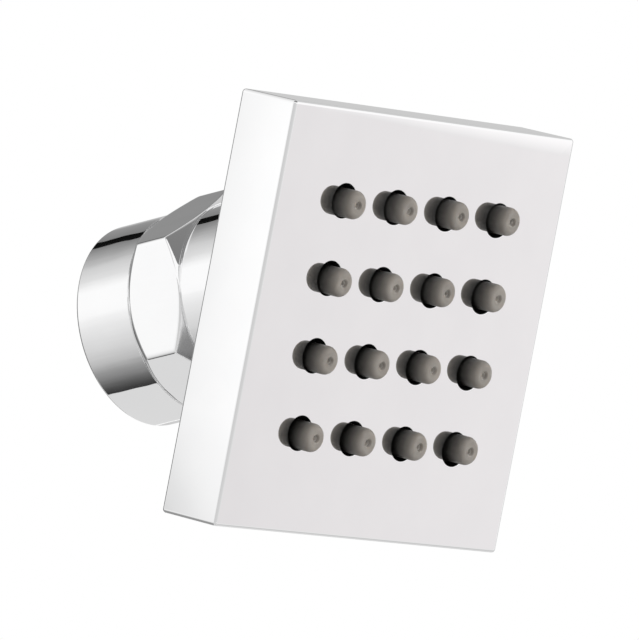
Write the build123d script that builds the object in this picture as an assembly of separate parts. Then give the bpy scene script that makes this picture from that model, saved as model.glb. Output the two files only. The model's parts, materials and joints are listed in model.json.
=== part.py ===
from build123d import *
import os
from math import cos, radians, sin, sqrt

# Square swivel body jet for a shower wall, in millimetres.
# The wall is the plane Y = 0, the fitting's axis points out of it along -Y, and +Z is up.
# "out" is a distance out of the wall, "ahead" one along the stem from the ball's centre,
# and "deep" one along the stem from the back of the head.

# Inlet
inlet_bore_r = 9.3155  # minor radius of a G 1/2 female thread
inlet_lead_in = 0.4
inlet_depth = 7.5  # from the mouth to the filter washer
seat_step = 0.4  # how much narrower the ball's bore is than the inlet bore

# Nut
collar_wall = 2.8
collar_bevel = 0.4
hex_across = 24.0
hex_start = 8.3
hex_length = 8.1
hex_rear_bevel = 2.0
hex_front_bevel = 1.5
ring_wall = 2.85
ring_bevel = 0.8
lip_thickness = 1.0
lip_flare = 0.5

# Filter and gland
filter_thickness = 1.8
filter_hole_r = 6.2
gauze_thickness = 0.4
gauze_pitch = 2.4
gauze_opening = 1.6
gland_thickness = 2.6
gland_hole_r = 6.4
gland_slot_width = 2.0
gland_slot_depth = 1.2
bore_gap = 0.05  # round every ring that sits in the ball's bore

# Ball joint
ball_side_gap = 0.2
ball_seat_gap = 0.05
seal_reach = 6.5  # from the ball's centre back to the gland
seal_length = 3.3
seat_reach = 4.4  # from the ball's centre forward to the nut's lip
seat_length = 2.4
lip_gap = 0.15  # between the lip and the ball
tilt_limit = 22.0
rest_tilt = 21.2  # the head looks down by this much
neck_gap = 0.1  # between neck and lip at the tilt limit
stem_bore_r = 3.0
shoulder_r = 6.8
shoulder_thickness = 1.0
shoulder_flats = 12.4
shoulder_swing_gap = 0.6  # between shoulder and nut at the tilt limit
spigot_r = 5.0
spigot_gap = 0.05
spigot_inset = 0.5  # how far the spigot stops short of the cover's inner face
washer_width = 1.0
washer_recess_depth = 1.0
washer_gap = 0.05

# Head
head_side = 50.0
head_depth = 8.6
head_edge = 0.3
side_wall = 1.6
face_wall = 1.6
cover_thickness = 1.8
cover_gap = 0.1
boss_height = 2.95
boss_wall = 1.5  # round the washer's recess
boss_flare = 1.5
post_merge = 0.3  # how far a post runs into the two side walls
screw_edge = 0.4  # between a screw's head and the cover's edge
screw_r = 1.2
screw_gap = 0.05
screw_head_r = 2.2
screw_length = 5.0
screw_recess_width = 0.6
screw_recess_length = 2.6
screw_recess_depth = 0.7

# Nozzles and water chamber
nozzle_rows = 4
nozzle_margin = 11.275  # from the head's edge to the middle of the outer nozzles
nozzle_rise = 0.5  # of the grid's centre above the face's centre
nozzle_side = 0.3  # of the grid's centre to the right of the face's centre
nozzle_hole_r = 2.05
nozzle_r = 1.7
nozzle_reach = 2.45  # in front of the face
nozzle_tip_bevel = 0.55
nozzle_bore_r = 0.3
nozzle_dimple_r = 0.55  # of the flared mouth in the nozzle's tip
nozzle_dimple_depth = 0.3
mat_thickness = 1.2
mat_turn = 0.8  # degrees that the mat sits turned in the shell
mat_edge_gap = 0.55
notch_gap = 0.6  # between the posts and the sheets they pass
plate_thickness = 2.0
plate_slot_width = 3.0
gasket_width = 2.0
gasket_corner_r = 4.0
gasket_margin = 1.2  # between the slots and the gasket

# The nut's stack, from the wall outward
seat_bore_r = inlet_bore_r - seat_step
insert_r = seat_bore_r - bore_gap
collar_r = inlet_bore_r + collar_wall
ring_r = seat_bore_r + ring_wall
filter_end = inlet_depth + filter_thickness
gauze_end = filter_end + gauze_thickness
gland_end = gauze_end + gland_thickness
ball_out = gland_end + seal_reach
lip_start = ball_out + seat_reach
nut_length = lip_start + lip_thickness

# The ball, and the neck that it can tilt through the lip
ball_r = seat_bore_r - ball_side_gap
cup_r = ball_r + ball_seat_gap
lip_r = sqrt(ball_r**2 - seat_reach**2) + lip_gap
tilt_cos = cos(radians(tilt_limit))
tilt_sin = sin(radians(tilt_limit))
lip_throat = seat_reach + lip_thickness - lip_flare
neck_r = lip_r * tilt_cos - lip_throat * tilt_sin - neck_gap
nut_front = seat_reach + lip_thickness
shoulder_start = (nut_front + shoulder_swing_gap + shoulder_r * tilt_sin) / tilt_cos
shoulder_end = shoulder_start + shoulder_thickness
washer_recess_r = spigot_r + washer_width
boss_back_r = washer_recess_r + boss_wall
boss_base_r = boss_back_r + boss_flare

# The head's stack, from its back forward
head_back = shoulder_end + boss_height
face_back = head_depth - face_wall
mat_back = face_back - mat_thickness
plate_back = mat_back - plate_thickness
cavity_half = head_side / 2 - side_wall
cover_half = cavity_half - cover_gap
mat_half = cavity_half - mat_edge_gap
post_offset = cover_half - screw_edge - screw_head_r
post_r = cavity_half - post_offset + post_merge
grid_half = head_side / 2 - nozzle_margin
nozzle_pitch = 2 * grid_half / (nozzle_rows - 1)
gasket_inner = grid_half + plate_slot_width / 2 + gasket_margin
gasket_outer = gasket_inner + gasket_width

# Where the pieces go: the ball's centre, and the stem tilted about it
at_ball = Pos(0, -ball_out, 0)
on_stem = at_ball * Rot(rest_tilt, 0, 0)
on_grid = Pos(nozzle_side, nozzle_rise)
axis_out = Axis((0, 0, 0), (0, -1, 0))
section_plane = Plane((0, 0, 0), x_dir=(1, 0, 0), z_dir=(0, 0, -1))


def on_sphere(sphere_r, radius):
    """Distance from the centre at which a sphere has this radius about its axis."""
    return sqrt(sphere_r**2 - radius**2)


def turned(points, arc=None):
    """Solid turned about the axis, from (radius, distance) points and an arc that closes them."""
    run = Polyline(*points, close=arc is None)
    edges = run.edges() if arc is None else run.edges() + arc.edges()
    return revolve(section_plane * make_face(edges), axis_out)


def facing(distance):
    """Plane across the axis at a distance, looking out, with its y axis up."""
    return Plane((0, -distance, 0), x_dir=(1, 0, 0), z_dir=(0, -1, 0))


def sheet(sketch, start, thickness):
    """Flat piece of the head, from a distance in front of the head's back."""
    return extrude(facing(head_back + start) * sketch, thickness)


def across_head(place):
    """Move from the stem's axis to a place on the face."""
    return Pos(place.position.X, 0, place.position.Y)


def corner_places():
    """Centres of the four corner posts."""
    return GridLocations(2 * post_offset, 2 * post_offset, 2, 2)


def nozzle_places():
    """Centres of the nozzles, on a square grid."""
    grid = GridLocations(nozzle_pitch, nozzle_pitch, nozzle_rows, nozzle_rows)
    return [on_grid * place for place in grid]


def notched_square(half):
    """Square sheet whose corners are cut away round the posts."""
    notch = half - (post_offset - post_r - notch_gap)
    corners = GridLocations(2 * half - notch, 2 * half - notch, 2, 2)
    return Rectangle(2 * half, 2 * half) - [place * Rectangle(notch, notch) for place in corners]


# Fitting
def swivel_nut():
    """Collar, hexagon and front ring turned from one bar, with the inlet thread and the ball's bore."""
    hex_end = hex_start + hex_length
    corner_r = hex_across / 2 / cos(radians(30))
    bar = RegularPolygon(hex_across / 2, 6, major_radius=False, rotation=30)
    bevels = turned([
        (0, hex_start),
        (hex_across / 2, hex_start),
        (corner_r, hex_start + hex_rear_bevel),
        (corner_r, hex_end - hex_front_bevel),
        (hex_across / 2, hex_end),
        (0, hex_end),
    ])
    hexagon = extrude(facing(hex_start) * bar, hex_length) & bevels
    collar = turned([
        (0, 0),
        (collar_r - collar_bevel, 0),
        (collar_r, collar_bevel),
        (collar_r, hex_start),
        (0, hex_start),
    ])
    ring = turned([
        (0, hex_end),
        (ring_r, hex_end),
        (ring_r, nut_length - ring_bevel),
        (ring_r - ring_bevel, nut_length),
        (0, nut_length),
    ])
    bore = turned([
        (0, 0),
        (inlet_bore_r + inlet_lead_in, 0),
        (inlet_bore_r, inlet_lead_in),
        (inlet_bore_r, inlet_depth),
        (seat_bore_r, inlet_depth),
        (seat_bore_r, lip_start),
        (lip_r, lip_start),
        (lip_r, nut_length - lip_flare),
        (lip_r + lip_flare, nut_length),
        (0, nut_length),
    ])
    return collar + hexagon + ring - bore


def flat_ring(inner_r, outer_r, start, end):
    """Ring of rectangular section."""
    return turned([(inner_r, start), (outer_r, start), (outer_r, end), (inner_r, end)])


def filter_washer():
    """Rubber inlet washer, on which the supply pipe's end seals."""
    return flat_ring(filter_hole_r, insert_r, inlet_depth, filter_end)


def filter_gauze():
    """Stainless gauze disc with square openings, held between the washer and the gland ring."""
    reach = filter_hole_r - gauze_opening
    across = 2 * int(filter_hole_r / gauze_pitch) + 1
    openings = [
        place * Rectangle(gauze_opening, gauze_opening)
        for place in GridLocations(gauze_pitch, gauze_pitch, across, across)
        if place.position.length < reach
    ]
    return extrude(facing(filter_end) * (Circle(insert_r) - openings), gauze_thickness)


def gland_ring():
    """Threaded ring behind the seal, with a spanner slot across its rear face."""
    slot = Rectangle(2 * insert_r, gland_slot_width)
    cut = extrude(facing(gauze_end) * slot, gland_slot_depth)
    return flat_ring(gland_hole_r, insert_r, gauze_end, gland_end) - cut


# Ball joint
def cup_ring(near, far):
    """Ring in the ball's bore whose inner face is part of a sphere just larger than the ball."""
    near_r = on_sphere(cup_r, near)
    far_r = on_sphere(cup_r, far)
    middle = (near + far) / 2
    cup = ThreePointArc((far_r, far), (on_sphere(cup_r, middle), middle), (near_r, near))
    return at_ball * turned([(near_r, near), (insert_r, near), (insert_r, far), (far_r, far)], cup)


def rear_seal():
    """Rubber cup seal between the gland ring and the ball."""
    return cup_ring(-seal_reach, seal_length - seal_reach)


def front_seat_ring():
    """Low-friction seat between the ball and the nut's lip."""
    return cup_ring(seat_reach - seat_length, seat_reach)


def ball_stem():
    """Hollow ball, neck, shoulder with spanner flats, and spigot, turned in one piece."""
    spigot_end = head_back + cover_thickness - spigot_inset
    ball_back = on_sphere(ball_r, stem_bore_r)
    neck_start = on_sphere(ball_r, neck_r)
    ball = ThreePointArc((stem_bore_r, -ball_back), (ball_r, 0), (neck_r, neck_start))
    stem = turned([
        (neck_r, neck_start),
        (neck_r, shoulder_start),
        (shoulder_r, shoulder_start),
        (shoulder_r, shoulder_end),
        (spigot_r, shoulder_end),
        (spigot_r, spigot_end),
        (stem_bore_r, spigot_end),
        (stem_bore_r, -ball_back),
    ], ball)
    beside = (shoulder_r - shoulder_flats / 2) / 2
    flats = [
        Pos(side * (shoulder_flats / 2 + beside), 0) * Rectangle(2 * beside, 2 * shoulder_r)
        for side in (-1, 1)
    ]
    cut = extrude(facing(shoulder_start) * Sketch(flats), shoulder_thickness)
    return on_stem * (stem - cut)


def stem_washer():
    """Flat rubber washer round the spigot, in the boss's recess."""
    recess_end = shoulder_end + washer_recess_depth
    washer = flat_ring(spigot_r + washer_gap, washer_recess_r - washer_gap, shoulder_end, recess_end)
    return on_stem * washer


# Head
def face_shell():
    """Square cup with thin walls, a pierced face and four corner posts for the cover's screws."""
    outside = sheet(Rectangle(head_side, head_side), 0, head_depth)
    outside = chamfer(outside.edges(), head_edge)
    cavity = sheet(Rectangle(2 * cavity_half, 2 * cavity_half), 0, face_back)
    posts = [place * Circle(post_r) for place in corner_places()]
    pilots = [place * Circle(screw_r + screw_gap) for place in corner_places()]
    holes = [place * Circle(nozzle_hole_r) for place in nozzle_places()]
    pilot_depth = screw_length - cover_thickness + screw_gap
    shell = outside - cavity
    shell += sheet(Sketch(posts), cover_thickness, face_back - cover_thickness)
    shell -= sheet(Sketch(pilots), cover_thickness, pilot_depth)
    shell -= sheet(Sketch(holes), face_back, face_wall)
    return on_stem * shell


def rear_cover():
    """Plate that closes the head, with countersunk screw holes and the coned, bored boss."""
    plate = sheet(Rectangle(2 * cover_half, 2 * cover_half), 0, cover_thickness)
    boss_back = head_back - boss_height
    inside = head_back + cover_thickness
    boss = turned([(0, boss_back), (boss_back_r, boss_back), (boss_base_r, head_back), (0, head_back)])
    bore_r = spigot_r + spigot_gap
    bore = turned([
        (0, boss_back),
        (washer_recess_r, boss_back),
        (washer_recess_r, boss_back + washer_recess_depth),
        (bore_r, boss_back + washer_recess_depth),
        (bore_r, inside),
        (0, inside),
    ])
    cover = plate + boss - bore
    for place in corner_places():
        cover -= across_head(place) * screw_form(screw_gap)
    return on_stem * cover


def screw_form(gap):
    """Countersunk screw, or with a gap the hole for one."""
    head_height = screw_head_r - screw_r
    return turned([
        (0, head_back),
        (screw_head_r + gap, head_back),
        (screw_r + gap, head_back + head_height),
        (screw_r + gap, head_back + screw_length),
        (0, head_back + screw_length),
    ])


def cover_screw(place):
    """Countersunk screw with a cross recess."""
    cross = Rectangle(screw_recess_length, screw_recess_width)
    cross += Rectangle(screw_recess_width, screw_recess_length)
    screw = screw_form(0) - sheet(cross, 0, screw_recess_depth)
    return on_stem * across_head(place) * screw


def chamber_seal():
    """Square gasket round the water chamber."""
    outer = RectangleRounded(2 * gasket_outer, 2 * gasket_outer, gasket_corner_r + gasket_width)
    inner = RectangleRounded(2 * gasket_inner, 2 * gasket_inner, gasket_corner_r)
    ring = on_grid * (outer - inner)
    return on_stem * sheet(ring, cover_thickness, plate_back - cover_thickness)


def spray_plate():
    """Plate that backs the mat, with one slot behind each row of nozzles."""
    slot_length = 2 * grid_half + plate_slot_width
    slot = SlotOverall(slot_length, plate_slot_width)
    rows = [on_grid * place * slot for place in GridLocations(0, nozzle_pitch, 1, nozzle_rows)]
    return on_stem * sheet(notched_square(cover_half) - rows, plate_back, plate_thickness)


def nozzle_mat():
    """Silicone sheet with a hollow nozzle through each hole of the face, sitting a little turned."""
    sheet_back = head_back + mat_back
    sheet_front = head_back + face_back
    tip = head_back + head_depth + nozzle_reach
    nozzle = turned([
        (0, sheet_front),
        (nozzle_r, sheet_front),
        (nozzle_r, tip - nozzle_tip_bevel),
        (nozzle_r - nozzle_tip_bevel, tip),
        (0, tip),
    ])
    water_way = turned([
        (0, sheet_back),
        (nozzle_bore_r, sheet_back),
        (nozzle_bore_r, tip - nozzle_dimple_depth),
        (nozzle_dimple_r, tip),
        (0, tip),
    ])
    mat = sheet(notched_square(mat_half), mat_back, mat_thickness)
    mat += [across_head(place) * nozzle for place in nozzle_places()]
    mat -= [across_head(place) * water_way for place in nozzle_places()]
    return on_stem * Rot(0, -mat_turn, 0) * mat


os.makedirs("parts", exist_ok=True)
pieces = {
    "swivel_nut": swivel_nut(),
    "filter_washer": filter_washer(),
    "filter_gauze": filter_gauze(),
    "gland_ring": gland_ring(),
    "rear_seal": rear_seal(),
    "front_seat_ring": front_seat_ring(),
    "ball_stem": ball_stem(),
    "stem_washer": stem_washer(),
    "rear_cover": rear_cover(),
    "chamber_seal": chamber_seal(),
    "spray_plate": spray_plate(),
    "nozzle_mat": nozzle_mat(),
    "face_shell": face_shell(),
}
for number, place in enumerate(corner_places(), start=1):
    pieces[f"cover_screw_{number}"] = cover_screw(place)
for name, piece in pieces.items():
    export_step(piece, f"parts/{name}.step")
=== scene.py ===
import json
from math import atan2, cos, pi, radians, sin, sqrt, tan

import bpy
import numpy as np
from mathutils import Matrix, Vector
from mathutils.geometry import delaunay_2d_cdt


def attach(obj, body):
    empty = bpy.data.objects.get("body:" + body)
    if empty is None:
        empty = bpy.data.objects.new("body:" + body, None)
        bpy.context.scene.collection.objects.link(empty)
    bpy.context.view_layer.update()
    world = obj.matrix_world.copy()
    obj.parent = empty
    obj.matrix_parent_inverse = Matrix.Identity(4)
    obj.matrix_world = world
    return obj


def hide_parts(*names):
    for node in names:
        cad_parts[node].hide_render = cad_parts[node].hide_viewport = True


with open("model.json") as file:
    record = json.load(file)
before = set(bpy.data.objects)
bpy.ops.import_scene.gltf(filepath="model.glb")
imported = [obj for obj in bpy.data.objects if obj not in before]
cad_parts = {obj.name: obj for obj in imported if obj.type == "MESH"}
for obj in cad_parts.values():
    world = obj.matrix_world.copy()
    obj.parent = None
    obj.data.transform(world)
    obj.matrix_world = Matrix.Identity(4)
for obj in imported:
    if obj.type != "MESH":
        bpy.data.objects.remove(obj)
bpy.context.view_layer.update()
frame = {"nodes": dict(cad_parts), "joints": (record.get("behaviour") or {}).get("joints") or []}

# Square swivel body jet for a shower wall, dressed for rendering.
# The object's sizes are millimetres and the stage's are metres. A piece's own frame is (across, up, ahead):
# ahead runs out of the wall for the fitting's pieces, and along the stem from the ball's centre for the
# pieces of ball and head.

MM = 0.001

# Rounding of the edges
FINE_EDGE = 0.1
SMALL_EDGE = 0.15
SOFT_EDGE = 0.2
HOLE_EDGE = 0.08
EDGE_FLAT = 0.02  # flat strip between a rounded edge and the face that it borders

# Inlet
INLET_BORE_R = 9.3155
INLET_LEAD_IN = 0.4
INLET_DEPTH = 7.5
INLET_FACE_STEP = 0.9  # from the lead-in out to the flat of the nut's rear face
SEAT_STEP = 0.4
SEAT_BORE_R = INLET_BORE_R - SEAT_STEP
THREAD_PITCH = 1.814
THREAD_DEPTH = 1.162
THREAD_ROUNDING = 0.92
THREAD_RUN_OUT = 0.8
THREAD_RELIEF = 0.2  # bare length at the thread's inner end

# Nut
COLLAR_WALL = 2.8
COLLAR_R = INLET_BORE_R + COLLAR_WALL
COLLAR_BEVEL = 0.4
HEX_HALF = 12.0
HEX_START = 8.3
HEX_LENGTH = 8.1
HEX_END = HEX_START + HEX_LENGTH
HEX_REAR_BEVEL = 2.0
HEX_FRONT_BEVEL = 1.5
HEX_SOFTNESS = 0.13
RING_WALL = 2.85
RING_R = SEAT_BORE_R + RING_WALL
RING_BEVEL = 0.8
LIP_R = 7.673
LIP_THICKNESS = 1.0
LIP_FLARE = 0.5
NUT_LENGTH = 24.2

# Filter
BORE_GAP = 0.05
INSERT_R = SEAT_BORE_R - BORE_GAP
FILTER_THICKNESS = 1.8
FILTER_HOLE_R = 6.2
FILTER_EDGE = 0.25
GAUZE_PITCH = 0.8
GAUZE_EDGE_GAP = 0.1
WIRE_R = 0.1

# Ball and stem, from the ball's centre
BALL_SIDE_GAP = 0.2
BALL_R = SEAT_BORE_R - BALL_SIDE_GAP
STEM_BORE_R = 3.0
NECK_R = 5.18
NECK_FILLET = 0.3
SHOULDER_R = 6.8
SHOULDER_START = 9.218
SHOULDER_THICKNESS = 1.0
SHOULDER_END = SHOULDER_START + SHOULDER_THICKNESS
SHOULDER_FLATS = 12.4
SPIGOT_R = 5.0
SPIGOT_INSET = 0.5  # how far the spigot stops short of the cover's inner face
SPIGOT_EDGE = 0.4
SPIGOT_MOUTH_EDGE = 0.3

# Head, from the ball's centre and from its own back
HEAD_HALF = 25.0
HEAD_DEPTH = 8.6
HEAD_EDGE = 0.4
HEAD_CORNER_R = 0.45
SIDE_WALL = 1.6
FACE_WALL = 1.6
CAVITY_HALF = HEAD_HALF - SIDE_WALL
CAVITY_CORNER_R = 0.3
FACE_BACK = HEAD_DEPTH - FACE_WALL
COVER_GAP = 0.1
COVER_HALF = CAVITY_HALF - COVER_GAP
COVER_THICKNESS = 1.8
COVER_CORNER_R = 0.25
WASHER_WIDTH = 1.0
WASHER_RECESS_R = SPIGOT_R + WASHER_WIDTH
WASHER_RECESS_DEPTH = 1.0
BOSS_HEIGHT = 2.95
BOSS_WALL = 1.5
BOSS_FLARE = 1.5
BOSS_BACK_R = WASHER_RECESS_R + BOSS_WALL
BOSS_BASE_R = BOSS_BACK_R + BOSS_FLARE
BOSS_FILLET = 0.8
BOSS_FOOT = 1.2  # flat of the cover that the fillet round the boss takes up
BOSS_EDGE = 0.4
HEAD_BACK = SHOULDER_END + BOSS_HEIGHT
SPIGOT_END = HEAD_BACK + COVER_THICKNESS - SPIGOT_INSET
SPIGOT_GAP = 0.05
SPIGOT_HOLE_R = SPIGOT_R + SPIGOT_GAP

# Cover screws and their posts
SCREW_R = 1.2
SCREW_HEAD_R = 2.2
SCREW_LENGTH = 5.0
SCREW_GAP = 0.05
SCREW_EDGE = 0.4  # between a screw's head and the cover's edge
SCREW_HOLE_R = SCREW_R + SCREW_GAP
SCREW_HEAD_HOLE_R = SCREW_HEAD_R + SCREW_GAP
PILOT_DEPTH = SCREW_LENGTH - COVER_THICKNESS + SCREW_GAP
POST_MERGE = 0.3  # how far a post runs into the two side walls
POST_OFFSET = COVER_HALF - SCREW_EDGE - SCREW_HEAD_R
POST_R = CAVITY_HALF - POST_OFFSET + POST_MERGE

# Nozzles
NOZZLE_ROWS = 4
NOZZLE_MARGIN = 11.275
NOZZLE_PITCH = 2 * (HEAD_HALF - NOZZLE_MARGIN) / (NOZZLE_ROWS - 1)
NOZZLE_RISE = 0.5
NOZZLE_SIDE = 0.3
NOZZLE_HOLE_R = 2.05
NOZZLE_R = 1.7
NOZZLE_REACH = 2.45
NOZZLE_TIP_ROUND = 0.75
NOZZLE_BORE_R = 0.3
NOZZLE_DIMPLE_R = 0.55
NOZZLE_DIMPLE_DEPTH = 0.3
MAT_THICKNESS = 1.2
MAT_BACK = FACE_BACK - MAT_THICKNESS
MAT_EDGE_GAP = 0.55
MAT_HALF = CAVITY_HALF - MAT_EDGE_GAP
NOTCH_GAP = 0.6
MAT_NOTCH_HALF = POST_OFFSET - POST_R - NOTCH_GAP
MAT_CORNER_R = 0.5
MAT_TURN = 0.8

# Where the pieces go
joints = {joint["name"]: joint for joint in frame["joints"]}
ball_centre = Vector(joints["swivel_tilt"]["pos_m"])
stem_axis = Vector(joints["head_turn"]["axis"])
rest_tilt = atan2(-stem_axis.z, -stem_axis.y)
on_wall = Matrix.Identity(4)
on_stem = Matrix.Translation(ball_centre) @ Matrix.Rotation(rest_tilt, 4, "X")
turned_on_stem = on_stem @ Matrix.Rotation(-radians(MAT_TURN), 4, "Y")


# Outlines: points and outward directions in the plane across the axis
def spin(angle):
    """Matrix that turns the points of a plane."""
    return np.array([[cos(angle), -sin(angle)], [sin(angle), cos(angle)]])


def circle(radius, centre=(0, 0), count=48):
    angles = np.arange(count) * 2 * pi / count
    outward = np.stack([np.cos(angles), np.sin(angles)], axis=1)
    return np.array(centre) + radius * outward, outward


def circles(centre=(0, 0), count=48):
    """The circle round a centre for any radius, to sweep a section along."""
    return lambda radius: circle(radius, centre, count)


def arc(middle, radius, first, last, steps):
    """Points along an arc, and the directions of their angles."""
    angles = np.linspace(first, last, steps + 1)
    directions = np.stack([np.cos(angles), np.sin(angles)], axis=1)
    return np.array(middle) + radius * directions, directions


def at_four_corners(points, outward):
    """Outline that has the same points at each of its four corners, given those at the top right."""
    turns = [spin(pi / 2 * quarter).T for quarter in range(4)]
    return tuple(np.concatenate([part @ turn for turn in turns]) for part in (points, outward))


def square(half, corner, steps=6):
    """Square with rounded corners."""
    return at_four_corners(*arc((half - corner, half - corner), corner, 0, pi / 2, steps))


def squares(half, corner):
    """The square for any half side, to sweep a section along. Their corners keep one centre."""
    return lambda offset: square(offset, corner + offset - half)


def posted_square(half, steps=10):
    """Square whose corners are taken by round posts."""
    reach = sqrt(POST_R**2 - (half - POST_OFFSET) ** 2)
    first = atan2(-reach, half - POST_OFFSET)
    last = atan2(half - POST_OFFSET, -reach) - 2 * pi
    points, inward = arc((POST_OFFSET, POST_OFFSET), POST_R, first, last, steps)
    return at_four_corners(points, -inward)


def notched_square(half, notch_half, corner, steps=4):
    """Square sheet whose corners are cut away, with rounded corners."""
    bends = [
        arc((half - corner, notch_half - corner), corner, 0, pi / 2, steps),
        arc((notch_half + corner, notch_half + corner), -corner, pi / 2, 0, steps),
        arc((notch_half - corner, half - corner), corner, 0, pi / 2, steps),
    ]
    return at_four_corners(*(np.concatenate(parts) for parts in zip(*bends)))


# Sections: rows of (offset, ahead, outward part and forward part of the normal)
def rounded(corners, radius, steps=4):
    """Rows along a section whose inner corners are rounded, with the solid on the right of the path.
    Radius is one for all of these corners, or a list with one for each."""
    corners = [np.array(corner, float) for corner in corners]
    radii = radius if isinstance(radius, list) else [radius] * (len(corners) - 2)
    ways = [(b - a) / np.linalg.norm(b - a) for a, b in zip(corners, corners[1:])]
    rows = [(*corners[0], -ways[0][1], ways[0][0])]
    for corner, before, after, size in zip(corners[1:-1], ways, ways[1:], radii):
        turn = atan2(before[0] * after[1] - before[1] * after[0], before @ after)
        side = 1 if turn > 0 else -1
        start = corner - before * size * tan(abs(turn) / 2)
        left = np.array([-before[1], before[0]])
        middle = start + side * size * left
        for step in range(steps + 1):
            bend = spin(turn * step / steps)
            rows.append((*(middle + bend @ (start - middle)), *(bend @ left)))
    rows.append((*corners[-1], -ways[-1][1], ways[-1][0]))
    return rows


def ball_rows(radius, first, last, steps):
    """Rows along a sphere, between two angles from its equator."""
    return np.hstack(arc((0, 0), radius, first, last, steps)).tolist()


def encloses(loop, spot):
    """Whether a closed loop goes round a spot, by the crossings to its right."""
    after = np.roll(loop, -1, axis=0)
    spans = (loop[:, 1] > spot[1]) != (after[:, 1] > spot[1])
    share = (spot[1] - loop[spans, 1]) / (after[spans, 1] - loop[spans, 1])
    crossings = loop[spans, 0] + share * (after[spans, 0] - loop[spans, 0])
    return np.count_nonzero(crossings > spot[0]) % 2 == 1


# Meshes
FILL_TRIANGLES = 1  # the kind of filling that keeps the triangles inside the edges
FILL_PRECISION = 1e-7


class Skin:
    """One mesh, gathered as rings of points, the skins between them and flat fills. Start is the place ahead
    from which its own distances ahead are measured."""

    def __init__(self, start=0):
        self.start = start
        self.points = []
        self.normals = []
        self.faces = []
        self.finishes = []
        self.finish = 0

    def add(self, face):
        self.faces.append(face)
        self.finishes.append(self.finish)

    def ring(self, outline, ahead, outward_part, forward_part):
        points, outward = outline
        first = len(self.points)
        for (across, up), (side, rise) in zip(points, outward):
            self.points.append((across, up, self.start + ahead))
            self.normals.append((side * outward_part, rise * outward_part, forward_part))
        return list(range(first, len(self.points)))

    def bridge(self, near, far):
        for i in range(len(near)):
            j = (i + 1) % len(near)
            self.add((near[i], far[i], far[j], near[j]))

    def sweep(self, outline, rows, closed=False):
        """Skin along a section, where outline gives the ring for an offset. Returns the end rings."""
        rings = [self.ring(outline(row[0]), *row[1:]) for row in rows]
        for near, far in zip(rings, rings[1:]):
            self.bridge(near, far)
        if closed:
            self.bridge(rings[-1], rings[0])
        return rings[0], rings[-1]

    def fill(self, rings, forward):
        """Flat face bounded by an outer ring and the rings of its holes."""
        indices = [index for ring in rings for index in ring]
        flat = [Vector(self.points[index][:2]) for index in indices]
        edges = []
        start = 0
        for ring in rings:
            edges += [(start + i, start + (i + 1) % len(ring)) for i in range(len(ring))]
            start += len(ring)
        filling = delaunay_2d_cdt(flat, edges, [], FILL_TRIANGLES, FILL_PRECISION)
        _spots, _edges, faces, origins, *_others = filling
        loops = [np.array([self.points[index][:2] for index in ring]) for ring in rings]
        for face in faces:
            corners = [indices[origins[corner][0]] for corner in face]
            middle = np.mean([self.points[corner][:2] for corner in corners], axis=0)
            if sum(encloses(loop, middle) for loop in loops) == 1:
                self.add(corners if forward else corners[::-1])

    def make(self, name, place):
        """Mesh object with smooth shading by the given normals."""
        piece = make_piece(name, self.points, self.faces, place, self.normals)
        piece.data.polygons.foreach_set("material_index", self.finishes)
        return piece


def new_object(name, data):
    item = bpy.data.objects.new(name, data)
    bpy.context.scene.collection.objects.link(item)
    return item


def make_piece(name, points, faces, place, normals):
    """Object from points in (across, up, ahead) millimetres, placed in the shared frame."""
    local = np.array(points)[:, (0, 2, 1)] * (MM, -MM, MM)
    turned = np.array(normals)[:, (0, 2, 1)] * (1, -1, 1)
    mesh = bpy.data.meshes.new(name)
    mesh.from_pydata(local.tolist(), [], faces)
    mesh.transform(place)
    mesh.validate()
    mesh.polygons.foreach_set("use_smooth", [True] * len(mesh.polygons))
    turn = np.array(place.to_3x3())
    mesh.normals_split_custom_set_from_vertices((turned @ turn.T).tolist())
    return new_object(name, mesh)


def area_normals(points, quads):
    """Normals of a dense grid, in which large faces count for more."""
    quads = np.array(quads)
    across = points[quads[:, 2]] - points[quads[:, 0]]
    down = points[quads[:, 3]] - points[quads[:, 1]]
    facing = np.cross(across, down)
    normals = np.zeros_like(points)
    for corner in range(4):
        np.add.at(normals, quads[:, corner], facing)
    return normals / np.linalg.norm(normals, axis=1, keepdims=True)


# Material nodes
NOISE_RANGE = (0.3, 0.7)  # where most values of a noise lie
materials = {}


def new_material(name):
    """New material, found in materials by its name. Returns its tree and shader."""
    material = bpy.data.materials.new(name)
    material.use_nodes = True
    materials[name] = material
    tree = material.node_tree
    return tree, tree.nodes["Principled BSDF"]


def grey(level):
    return (level, level, level)


def noise(tree, scale, detail, stretch=(1, 1, 1)):
    """Noise in the piece's own coordinates, with its scale in waves per metre."""
    coordinates = tree.nodes.new("ShaderNodeTexCoord")
    mapping = tree.nodes.new("ShaderNodeMapping")
    mapping.inputs["Scale"].default_value = stretch
    texture = tree.nodes.new("ShaderNodeTexNoise")
    texture.inputs["Scale"].default_value = scale
    texture.inputs["Detail"].default_value = detail
    tree.links.new(coordinates.outputs["Object"], mapping.inputs["Vector"])
    tree.links.new(mapping.outputs["Vector"], texture.inputs["Vector"])
    return texture.outputs["Fac"]


def map_range(tree, value, source, target):
    """Carry a value from one range over to another."""
    node = tree.nodes.new("ShaderNodeMapRange")
    ends = ("From Min", "From Max", "To Min", "To Max")
    for name, number in zip(ends, (*source, *target)):
        node.inputs[name].default_value = number
    tree.links.new(value, node.inputs["Value"])
    return node.outputs["Result"]


def spread(tree, value, low, high):
    """Spread a noise over a range."""
    return map_range(tree, value, NOISE_RANGE, (low, high))


def tint(tree, value, dark, light):
    """Mix two colours by a noise."""
    node = tree.nodes.new("ShaderNodeMix")
    node.data_type = "RGBA"
    node.inputs["A"].default_value = (*dark, 1)
    node.inputs["B"].default_value = (*light, 1)
    tree.links.new(spread(tree, value, 0, 1), node.inputs["Factor"])
    return node.outputs["Result"]


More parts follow.
